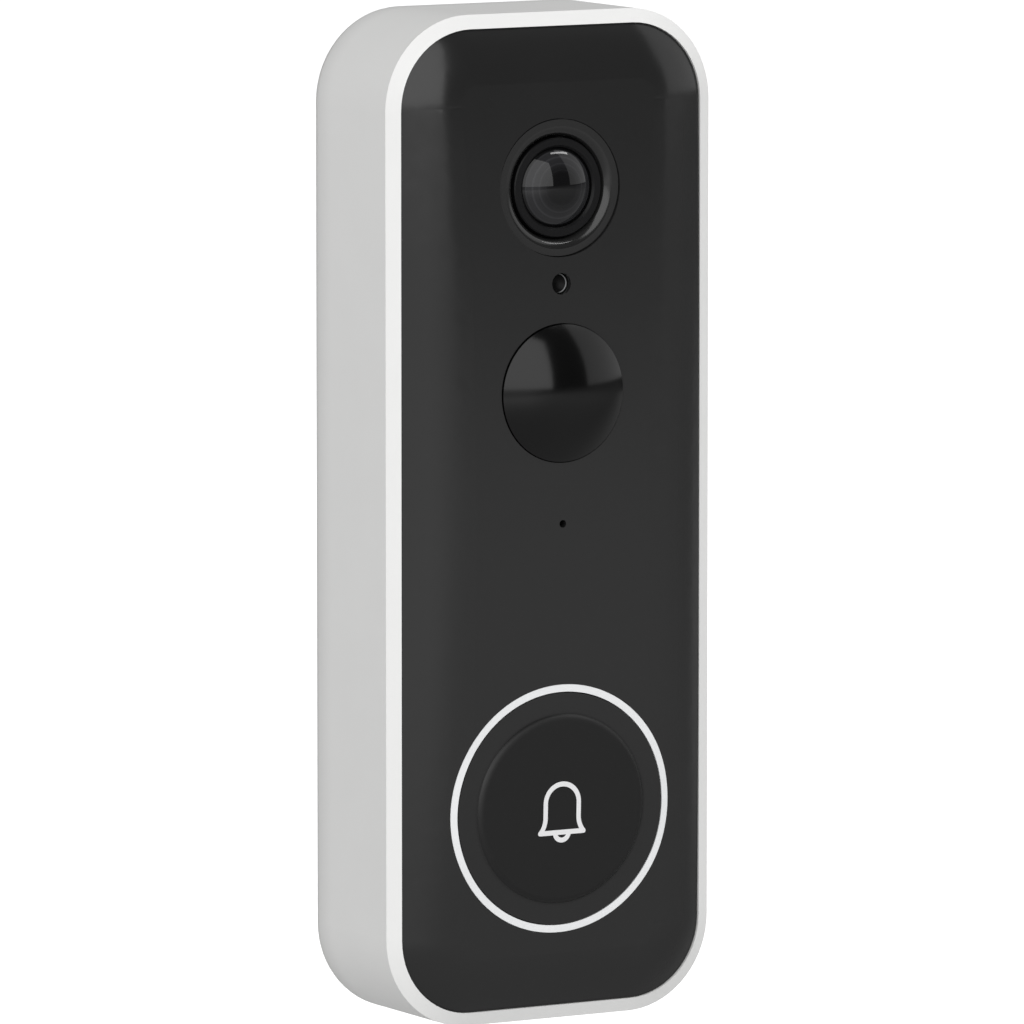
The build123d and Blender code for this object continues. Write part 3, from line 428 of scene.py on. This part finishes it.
# %% [markdown]
# Between the two lenses lies a spacer, seen when the camera is taken apart. Its inner wall is cut in
# steps, like a tiny amphitheatre: each step catches stray light before it reaches the image sensor. It
# could be turned from one outline, but walking a circle inwards, one drop and one shrink at a time, is
# just how a lathe would cut it.
# %% Stepped spacer between the lenses
spacer_low, spacer_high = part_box("lens_spacer")
spacer_r = spacer_high[0]
spacer_mouth = 4.9 * MM
spacer_bore = 3.0 * MM
spacer_steps = 5
bpy.ops.object.select_all(action="DESELECT")
bpy.ops.mesh.primitive_circle_add(
    vertices=round_segments, radius=spacer_r,
    location=(0, spacer_low[1], lens_z), rotation=(pi / 2, 0, 0),
)
spacer = bpy.context.object
spacer.name = "stepped_spacer"
bpy.ops.object.transform_apply(location=True, rotation=True, scale=True)
bpy.ops.object.mode_set(mode="EDIT")
bpy.ops.mesh.select_all(action="SELECT")
reached = step(spacer_mouth, spacer_r)
step_depth = (spacer_high[1] - spacer_low[1]) / spacer_steps
step_width = (spacer_mouth - spacer_bore) / (spacer_steps - 1)
for _ in range(spacer_steps - 1):
    drop(step_depth)
    reached = step(reached - step_width, reached)
drop(step_depth)
step(spacer_r, reached)
drop(spacer_low[1] - spacer_high[1])
settle(spacer, "lens_spacer")


# %% [markdown]
# The spacer is blackened so that it swallows light: very dark, with a dry, slightly grainy face.
# %% Finish of the spacer
def black_recipe(at):
    grain = speckle(at, size=0.2)
    return {
        "Base Color": grain.blend(colour(12, 12, 12), colour(18, 18, 19)),
        "Roughness": 0.5 + 0.2 * grain,
        "Specular IOR Level": 0.15,
        "Normal": dents(at, grain, depth=0.004),
    }


spacer.data.materials.append(finish("blackened", black_recipe))
print("spacer blackened")

# %% [markdown]
# The front lens is what one sees of the camera: a strongly domed front and a hollow back, with a flat
# ground edge between them. It is made of two caps, one for each face, whose rims meet behind the edge.
# %% Front lens
glass_r = 5.75 * MM
glass_rise = 2.0 * MM
glass_edge = 0.9 * MM
hollow_r = 4.45 * MM
hollow_rise = 0.9 * MM
glass_top = front_of("lens_front")
hollow_top = glass_top + glass_rise + glass_edge - hollow_rise
hollow = cap("hollow_face", hollow_r, hollow_rise, hollow_top, lens_z)
bpy.ops.object.mode_set(mode="OBJECT")
glass = cap("front_glass", glass_r, glass_rise, glass_top, lens_z)
drop(glass_edge)
step(hollow_r, glass_r)
bpy.ops.object.mode_set(mode="OBJECT")
hollow.select_set(True)
bpy.ops.object.join()
settle(glass, "lens_front")


# %% [markdown]
# From outside a coated lens looks nearly black: the coating leaves a weak mirror, and behind it the steps
# of the spacer show as faint rings round a dark pupil. Clear glass would need very many samples to come
# out clean, so the front lens is opaque and that view is painted into its colour: rings drawn from the
# distance to the lens's axis, each with a painted highlight where a lit step would catch the light,
# round a painted dark pupil. Its edge is inked black, as opticians do it to keep stray light out.
# The rear lens stays clear.
# %% Finish of the lenses
pupil_r = 1.9 * MM
rings_full_r = 4.4 * MM
ring_pitch = 0.9 * MM
step_highlight_edge = 0.65, 0.9  # where a ring turns bright, in shares of the pitch
ring_depth = 0.45
ink_start = 5.2 * MM
ink_end = ink_start + 0.2 * MM


def lens_recipe(at):
    away = off_axis(at, 0, lens_z)
    # painted highlights: each ring turns bright towards its outer edge, as a lit step would
    painted_step_highlights = (away / ring_pitch).math("FRACT").ramp(*step_highlight_edge)
    # the painted view shows between the painted dark pupil and the inked edge
    clear = away.ramp(pupil_r, rings_full_r) * (1 - away.ramp(ink_start, ink_end))
    rings = clear * (1 - ring_depth + ring_depth * painted_step_highlights)
    return {
        "Base Color": rings.blend(colour(12, 12, 13), colour(47, 47, 49)),
        "Roughness": 0.03 + 0.02 * speckle(at, size=3.0),
        "Specular IOR Level": 0.26,
    }


def rear_recipe(at):
    return {
        "Base Color": speckle(at, size=1.0).blend((0.36, 0.38, 0.4, 1.0), (0.4, 0.42, 0.44, 1.0)),
        "Roughness": 0.01 * speckle(at, size=3.0),
        "IOR": 1.5,
        "Transmission Weight": 1.0,
    }


glass.data.materials.append(finish("coated_glass", lens_recipe))
wear(finish("rear_glass", rear_recipe), "lens_rear")
print("rings every", ring_pitch / MM, "mm, ink from", ink_start / MM, "mm")

# %% [markdown]
# The light sensor looks out through a short smoky light pipe with a hollow end. A pale crescent on the
# right of that end's rim is a painted highlight, and is also made rougher: one mask takes the rim,
# from the distance to the pipe's axis, and a second one its right half, from X.
# %% Finish of the light pipe
pipe_z = middle("sensor_lens").z
crescent_in = 1.24 * MM
crescent_out = 1.42 * MM
crescent_blur = 0.1 * MM
crescent_side = -0.2 * MM, 0.8 * MM


def pipe_recipe(at):
    cloud = speckle(at, size=0.6)
    away = off_axis(at, 0, pipe_z)
    inside = 1 - away.ramp(crescent_out - crescent_blur, crescent_out)
    # painted highlight: a pale crescent on the right half of the rim
    painted_crescent = away.ramp(crescent_in, crescent_in + crescent_blur) * inside * at.part("X").ramp(*crescent_side)
    return {
        "Base Color": painted_crescent.blend(colour(6, 6, 6), colour(150, 151, 152)),
        "Roughness": 0.4 + 0.1 * cloud + 0.2 * painted_crescent,
        "Specular IOR Level": 0.12,
        "Normal": dents(at, cloud, depth=0.002),
    }


wear(finish("light_pipe", pipe_recipe), "sensor_lens")
print("light pipe highlight_painted from", round(crescent_in / MM, 2), "to", round(crescent_out / MM, 2), "mm")

# %% [markdown]
# What is left is hidden in use, yet shows when the unit swings off the wall or is taken apart. One
# recipe with two colours, a grain size and a roughness covers the moulded and rubber pieces.
# %% Moulded plastics, rubber and foam
def moulded(name, dark, light, grain_size, roughness, depth):
    """A finish for plain plastics and rubbers: two near colours and a grain."""
    def recipe(at):
        grain = speckle(at, size=grain_size)
        return {
            "Base Color": speckle(at, size=6.0).blend(dark, light),
            "Roughness": roughness + 0.12 * (grain - 0.5),
            "Normal": dents(at, grain, depth),
        }
    return finish(name, recipe)


plate = moulded(
    "plate_plastic", colour(58, 59, 61), colour(64, 65, 67),
    grain_size=0.35, roughness=0.55, depth=0.01,
)
matt = moulded(
    "matt_black", colour(34, 34, 35), colour(40, 40, 41),
    grain_size=0.3, roughness=0.5, depth=0.006,
)
rubber = moulded(
    "soft_rubber", colour(44, 44, 45), colour(52, 52, 53),
    grain_size=0.5, roughness=0.75, depth=0.01,
)
foam = moulded(
    "cell_foam", colour(26, 26, 27), colour(44, 44, 45),
    grain_size=0.4, roughness=0.95, depth=0.12,
)
grey = moulded(
    "grey_plastic", colour(150, 151, 153), colour(160, 161, 163),
    grain_size=0.3, roughness=0.5, depth=0.006,
)
nylon = moulded(
    "ivory_nylon", colour(222, 214, 190), colour(230, 223, 202),
    grain_size=0.4, roughness=0.5, depth=0.004,
)
wear(plate, "wall_plate")
wear(matt, "light_baffle", "switch_body", "switch_plunger", "reset_switch", "speaker")
wear(rubber, "front_seal", "button_seal", "mic_boot", "port_cover")
wear(foam, "camera_gasket", "speaker_gasket")
wear(grey, "reset_stem")
wear(nylon, "board_connector", "battery_plug")
print("moulded pieces done")

# %% [markdown]
# Screws, pins and springs are drawn or turned, so their fine scratches run one way. Stretched mottling
# gives such lines, and the same lines set the roughness.
# %% Metals
turned_along_y = (1, 0.2, 1)
drawn_along_x = (0.1, 1, 1)
rolled_along_x = (0.05, 1, 1)


def metal(name, dark, light, along, roughness):
    """A finish for bare metal, scratched along an axis: the scale along it is small."""
    def recipe(at):
        lines = speckle(stretched(at, *along), size=0.12, detail=4.0)
        return {
            "Base Color": lines.blend(dark, light),
            "Metallic": 1.0,
            "Roughness": roughness + 0.18 * (lines - 0.5),
            "Normal": dents(at, lines, depth=0.003),
        }
    return finish(name, recipe)


zinc = metal("bright_zinc", colour(180, 181, 182), colour(206, 206, 205), turned_along_y, roughness=0.32)
spring = metal("spring_steel", colour(150, 150, 152), colour(178, 178, 179), rolled_along_x, roughness=0.34)
tin = metal("tin_plate", colour(186, 187, 189), colour(205, 206, 207), drawn_along_x, roughness=0.36)
brass = metal("brass", colour(190, 160, 96), colour(212, 182, 116), drawn_along_x, roughness=0.3)
wear(zinc, "hanger_pin", "case_screws", "board_screws", "charge_board_screws", "terminal_screws")
wear(spring, "latch_spring")
wear(tin, "shield_can", "usb_port", "motion_sensor", "microphone")
wear(brass, "terminal_plates", "terminal_posts")
print("metals done")

# %% [markdown]
# The boards are green under their lacquer, with copper tracks showing through as a paler net. Cells of
# a Voronoi pattern on square distances look enough like tracks at this size.
# %% Boards, chips and lamps
track_cell = 1.6 * MM
track_edge = 0.42, 0.5  # where a cell turns into track, in shares of the cell
conductor_pitch = 0.5 * MM
conductor_edge = -0.2, 0.2


def board_recipe(at):
    cells = at.node(
        "TexVoronoi", {"Vector": at, "Scale": 1 / track_cell},
        output="Distance", feature="F1", distance="CHEBYCHEV",
    )
    tracks = cells.ramp(*track_edge)
    return {
        "Base Color": tracks.blend(colour(16, 62, 42), colour(34, 98, 66)),
        "Roughness": 0.3 + 0.15 * speckle(at, size=0.8),
        "Normal": dents(at, tracks, depth=0.02),
    }


def chip_recipe(at):
    grain = speckle(at, size=0.2)
    return {
        "Base Color": grain.blend(colour(18, 19, 24), colour(34, 30, 44)),
        "Roughness": 0.12 + 0.1 * grain,
        "Normal": dents(at, grain, depth=0.001),
    }


def film_recipe(at):
    lines = (at.part("X") * (2 * pi / conductor_pitch)).math("SINE").ramp(*conductor_edge)
    return {
        "Base Color": lines.blend(colour(120, 62, 18), colour(176, 104, 36)),
        "Roughness": 0.28 + 0.1 * speckle(at, size=0.6),
        "Normal": dents(at, lines, depth=0.01),
    }


def lamp_recipe(at):
    cloud = speckle(at, size=0.5)
    return {
        "Base Color": cloud.blend(colour(226, 206, 120), colour(240, 232, 180)),
        "Roughness": 0.25 + 0.1 * cloud,
        "Normal": dents(at, cloud, depth=0.004),
    }


chip = finish("dark_chip", chip_recipe)
film = finish("amber_film", film_recipe)
wear(finish("circuit_board", board_recipe), "main_board", "charge_board", "camera_board")
wear(chip, "image_sensor", "motion_filter", "light_sensor", "infrared_leds")
wear(film, "camera_ribbon", "antenna")
wear(finish("phosphor_lamp", lamp_recipe), "ring_leds")
print("boards done")

# %% [markdown]
# The battery is a flat pouch of crinkled foil on a strip of sticky tape, with three leads whose colours
# follow their place from left to right.
# %% Battery
lead_split = 0.9 * MM
lead_blur = 0.1 * MM


def pouch_recipe(at):
    creases = speckle(at, size=4.0, detail=5.0)
    return {
        "Base Color": creases.blend(colour(168, 170, 173), colour(196, 198, 200)),
        "Metallic": 0.85,
        "Roughness": 0.34 + 0.14 * (creases - 0.5),
        "Normal": dents(at, creases, depth=0.08),
    }


def leads_recipe(at):
    across = at.part("X")
    red_or_white = across.ramp(-lead_split - lead_blur, -lead_split)
    insulation = red_or_white.blend(colour(168, 24, 22), colour(222, 222, 218))
    black_end = across.ramp(lead_split, lead_split + lead_blur)
    return {
        "Base Color": black_end.blend(insulation, colour(24, 24, 25)),
        "Roughness": 0.42 + 0.1 * speckle(at, size=0.3),
        "Normal": dents(at, speckle(at, size=0.3), depth=0.004),
    }


wear(finish("battery_foil", pouch_recipe), "battery_pack")
tape = moulded(
    "sticky_tape", colour(214, 206, 182), colour(224, 217, 196),
    grain_size=0.5, roughness=0.4, depth=0.01,
)
wear(tape, "battery_tape")
wear(finish("lead_insulation", leads_recipe), "battery_leads")
print("pieces without a finish:", [name for name, piece in nodes.items() if not piece.data.materials])

# %% [markdown]
# Behind the slots under the case lies a fine cloth that keeps dust and spray off the loudspeaker. It could
# be woven, each thread over one neighbour and under the next, but at this size nobody sees that. So it is
# a flat net: a grid, of which a wireframe turns each edge into a thread.
# %% Net of cloth behind the speaker slots
cloth_low, cloth_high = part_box("speaker_mesh")
thread_pitch = 0.7 * MM
thread_width = 0.2 * MM
cloth_lift = 0.04 * MM  # the net lies a touch above the middle of its room
cloth_size = Vector(cloth_high) - Vector(cloth_low)
cloth_middle = middle("speaker_mesh") + Vector((0, 0, cloth_lift))
threads_across = round(cloth_size.x / thread_pitch)
threads_along = round(cloth_size.y / thread_pitch)
bpy.ops.mesh.primitive_grid_add(
    x_subdivisions=threads_across, y_subdivisions=threads_along, size=1, location=cloth_middle,
)
cloth = bpy.context.object
cloth.name = "speaker_cloth"
cloth.scale = (cloth_size.x - 2 * thread_width, cloth_size.y - 2 * thread_width, 1)
bpy.ops.object.transform_apply(location=True, rotation=True, scale=True)
bpy.ops.object.modifier_add(type="WIREFRAME")
cloth.modifiers[-1].thickness = thread_width
bpy.ops.object.modifier_apply(modifier=cloth.modifiers[-1].name)
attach(cloth, "unit")
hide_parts("speaker_mesh")
cloth.data.materials.append(moulded(
    "cloth", colour(28, 28, 29), colour(40, 40, 41),
    grain_size=0.1, roughness=0.8, depth=0.004,
))
print("threads:", threads_across + 1, "by", threads_along + 1, "faces:", len(cloth.data.polygons))

# %% [markdown]
# The studio: a pale floor well below the doorbell, two tall soft boxes with a dark gap between them, a
# narrow strip lamp overhead and a weak lamp above and behind. What the glossy pieces mirror makes their
# look, and the lower half of every reflection is floor. So light and shade are painted on it: painted
# shade on the right, like paper under a black card, painted light further out, most of all on the left,
# and painted shade again towards the horizon. That painted light is an emission which only the camera
# and the mirrors see, so it adds no light.
# %% Floor
floor_z = -0.25
floor_size = 40.0
painted_shade_turns = radians(25), radians(105)    # azimuths between which the paper darkens
left_turns = radians(-16), radians(12)    # and between which the glow on the left
right_turns = radians(40), radians(100)   # and that on the right come to an end
front_end = -0.4, 0.0                     # depths in metres between which all of that ends
back_rise = 0.1, 0.9                      # and between which the paper at the back turns white
painted_light_reach = 0.45, 1.8                    # distances in metres between which the glow rises,
boxes_reach = 2.0, 2.6                    # rises again, beyond the soft boxes,
horizon_shade_reach = 3.5, 11.0                    # and sinks towards the horizon
left_painted_light = 0.4
right_painted_light = 0.18
boxes_painted_light = 0.12
horizon_shade_loss = 0.19
bpy.ops.mesh.primitive_plane_add(size=floor_size, location=(0, 0, floor_z))
floor = bpy.context.object
floor.name = "floor"


def from_below(at):
    """Distance in metres from the point on the floor below the doorbell."""
    return (at.part("X") * at.part("X") + at.part("Y") * at.part("Y")) ** 0.5


def floor_recipe(at):
    rays = [at.node("LightPath", output=f"Is {kind} Ray") for kind in ("Camera", "Glossy", "Transmission")]
    seen = rays[0].math("MAXIMUM", rays[1]).math("MAXIMUM", rays[2])
    turn = at.part("X").math("ARCTAN2", 0 - at.part("Y"))
    away = from_below(at)
    front = 1 - at.part("Y").ramp(*front_end)
    left = 1 - turn.ramp(*left_turns)
    right = 1 - turn.ramp(*right_turns)
    # painted light: the paper brightens further out, most of all on the left
    painted_light = away.ramp(*painted_light_reach) * (left_painted_light * left + right_painted_light * right)
    # painted shade towards the horizon
    haze = away.ramp(*horizon_shade_reach) * (1 - left)
    lift = front * (painted_light + boxes_painted_light * away.ramp(*boxes_reach) - horizon_shade_loss * haze)
    return {
        # painted shade: the paper darkens on the right
        "Base Color": (front * turn.ramp(*painted_shade_turns)).blend(colour(215, 215, 215), colour(140, 140, 140)),
        "Roughness": 0.9,
        "Specular IOR Level": 0.0,
        "Emission Color": seen * (lift + at.part("Y").ramp(*back_rise)),
        "Emission Strength": 1.0,
    }


paper = finish("white_paper", floor_recipe)
paper.cycles.emission_sampling = "NONE"
floor.data.materials.append(paper)
print("floor at", floor_z, "m")

# %% [markdown]
# A soft box is a flat lamp. The edges of each are given as the angles at which the doorbell sees them,
# since that is where its reflection starts and ends, and a lamp's power is worked out from the radiance
# of its face, so that a box of another size mirrors just as bright.
# %% Soft boxes
box_distance = 2.4


def lamp(name, place, rotation, width, height, radiance):
    """A flat lamp of that size whose face has that radiance."""
    bpy.ops.object.light_add(type="AREA", location=place, rotation=rotation)
    made = bpy.context.object
    made.name = name
    made.data.shape = "RECTANGLE"
    made.data.size = width
    made.data.size_y = height
    made.data.energy = radiance * pi * width * height
    return made


def standing_box(name, left, right, foot, top, radiance):
    """A soft box that the doorbell sees between two azimuths and two heights, all in degrees."""
    turn = radians((left + right) / 2)
    width = 2 * box_distance * tan(radians((right - left) / 2))
    low = box_distance * tan(radians(foot))
    high = box_distance * tan(radians(top))
    place = (box_distance * sin(turn), -box_distance * cos(turn), (low + high) / 2)
    return lamp(name, place, (pi / 2, 0, turn), width, high - low, radiance)


standing_box("left_box", left=-85.0, right=11.0, foot=0.0, top=50.0, radiance=2.4)
standing_box("right_box", left=45.0, right=115.0, foot=0.0, top=62.0, radiance=0.98)
print("two soft boxes")

# %% [markdown]
# The strip lamp is there for one thin bright line on the lens. It hangs where the lens mirrors it into
# the camera, and its roll brings that line level. The lamp at the back lights the top of the case, and
# the world is a weak even grey that fills the shadows.
# %% Strip lamp, back lamp and world
strip_rise = radians(48.0)
strip_turn = radians(51.0)
strip_roll = radians(-28.0)
strip_distance = 2.2
back_place = (0, 0.8, 2.4)
back_tilt = -0.32
world_grey = 0.11


def towards(turn, rise):
    """The direction from the doorbell to an azimuth and a height, both in radians."""
    return Vector((sin(turn) * cos(rise), -cos(turn) * cos(rise), sin(rise)))


strip_way = towards(strip_turn, strip_rise)
strip_facing = strip_way.to_track_quat("Z", "Y") @ Quaternion((0, 0, 1), strip_roll)
lamp("strip", strip_way * strip_distance, strip_facing.to_euler(), width=1.2, height=0.11, radiance=13.0)
lamp("back_lamp", back_place, (back_tilt, 0, 0), width=1.2, height=1.2, radiance=1.2)

world = bpy.data.worlds.new("studio")
world.use_nodes = True
world_colour = (world_grey, world_grey, world_grey, 1.0)
world.node_tree.nodes["Background"].inputs["Color"].default_value = world_colour
bpy.context.scene.world = world

# %% [markdown]
# The picture was taken with a long lens from the left and a little above, so that one side, the front
# and the rim all show. The aim is the point in the middle of the frame, in metres.
# %% Camera
azimuth = radians(-30.0)
elevation = radians(6.823)
aim = Vector((-0.004479, -0.020851, 0.000791))
distance = 1.5966
focal_length = 389.85
back = towards(azimuth, elevation)
bpy.ops.object.camera_add(location=aim + back * distance)
camera = bpy.context.object
camera.rotation_euler = (-back).to_track_quat("-Z", "Y").to_euler()
camera.data.sensor_width = 36.0
camera.data.lens = focal_length
camera.data.clip_start = 0.01
camera.data.clip_end = 60.0
bpy.context.scene.camera = camera
bpy.context.scene.view_settings.view_transform = "Standard"
print("camera", [round(v, 3) for v in camera.location])
